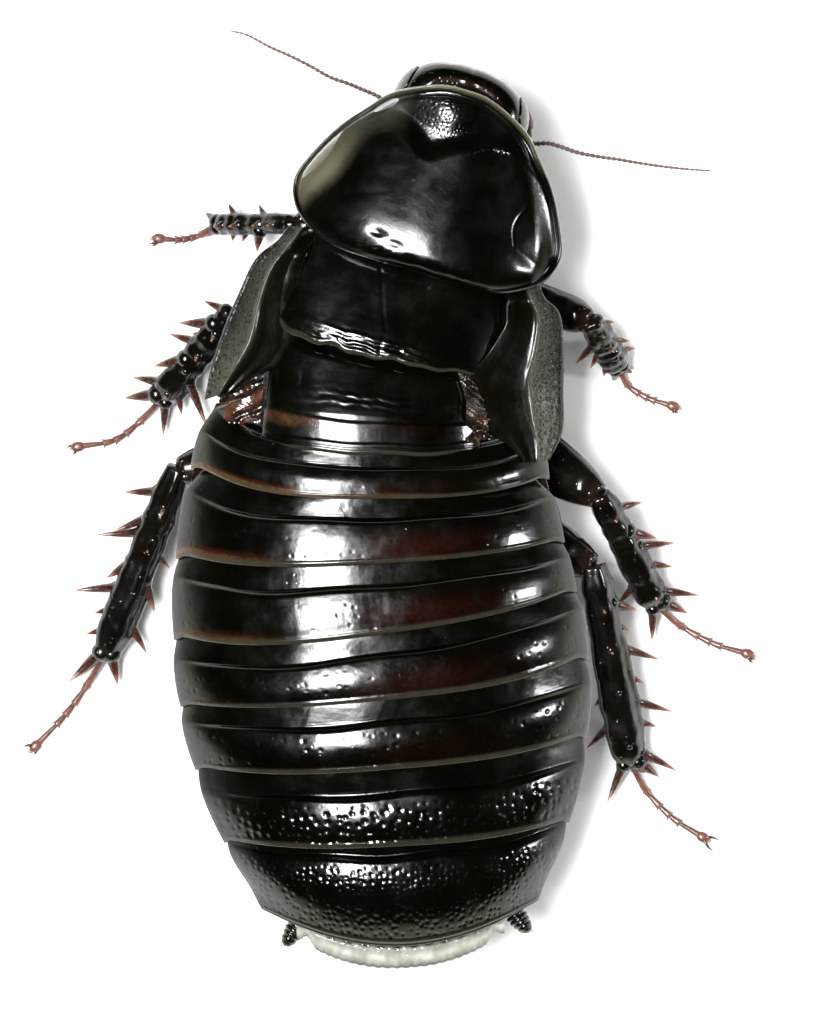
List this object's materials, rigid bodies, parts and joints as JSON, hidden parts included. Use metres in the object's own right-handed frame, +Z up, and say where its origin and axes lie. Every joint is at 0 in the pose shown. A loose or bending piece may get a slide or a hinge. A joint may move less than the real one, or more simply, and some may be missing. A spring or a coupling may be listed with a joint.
{
  "type": "panesthia cockroach",
  "caption": "Large black wood cockroach standing on its spread, spiny legs, with short wing pads, a domed shield and a pitted, segmented abdomen.",
  "frame": {"origin": "middle of the whole insect, antennae and feet included, on the floor that it stands on", "axes": "+Z up; -Y towards the head; +X to the animal's left"},
  "size_m": [0.0371, 0.0472, 0.0108],
  "materials": {
    "head_black": "polished black cuticle",
    "eye_black": "finely faceted satin black",
    "shield_black": "polished black cuticle, pitted and wrinkled",
    "back_black": "polished black cuticle with a red-brown band",
    "abdomen_black": "polished black cuticle, pitted towards the tail",
    "tail_plate_black": "polished black cuticle with a fine toothed rim",
    "underside_brown": "glossy dark red-brown cuticle",
    "leg_black": "glossy black cuticle",
    "leg_brown": "glossy red-brown cuticle",
    "antenna_brown": "dull beaded brown",
    "wing_pad_grey": "leathery grey-black, finely pitted",
    "wing_amber": "torn amber membrane, satin"
  },
  "bodies": {
    "root": {"head": "head_black", "eye_left": "eye_black", "eye_right": "eye_black", "palp_left": "leg_brown", "palp_right": "leg_brown", "antenna_left": "antenna_brown", "antenna_right": "antenna_brown", "pronotum": "shield_black", "prothorax": "underside_brown", "mesonotum": "back_black", "metanotum": "back_black", "mesothorax": "underside_brown", "metathorax": "underside_brown", "tegmen_left": "wing_pad_grey", "tegmen_right": "wing_pad_grey", "wing_left": "wing_amber", "wing_right": "wing_amber", "supra_anal_plate": "tail_plate_black", "subgenital_plate": "underside_brown", "cercus_left": "leg_brown", "cercus_right": "leg_brown", "abdomen_1": "abdomen_black", "abdomen_2": "abdomen_black", "abdomen_3": "abdomen_black", "abdomen_4": "abdomen_black", "abdomen_5": "abdomen_black", "abdomen_6": "abdomen_black", "abdomen_7": "abdomen_black", "coxa_front_left": "underside_brown", "femur_front_left": "leg_black", "tibia_front_left": "leg_black", "tarsus_front_left": "leg_brown", "coxa_front_right": "underside_brown", "femur_front_right": "leg_black", "tibia_front_right": "leg_black", "tarsus_front_right": "leg_brown", "coxa_middle_left": "underside_brown", "femur_middle_left": "leg_black", "tibia_middle_left": "leg_black", "tarsus_middle_left": "leg_brown", "coxa_middle_right": "underside_brown", "femur_middle_right": "leg_black", "tibia_middle_right": "leg_black", "tarsus_middle_right": "leg_brown", "coxa_hind_left": "underside_brown", "femur_hind_left": "leg_black", "tibia_hind_left": "leg_black", "tarsus_hind_left": "leg_brown", "coxa_hind_right": "underside_brown", "femur_hind_right": "leg_black", "tibia_hind_right": "leg_black", "tarsus_hind_right": "leg_brown"}
  },
  "joints": []
}
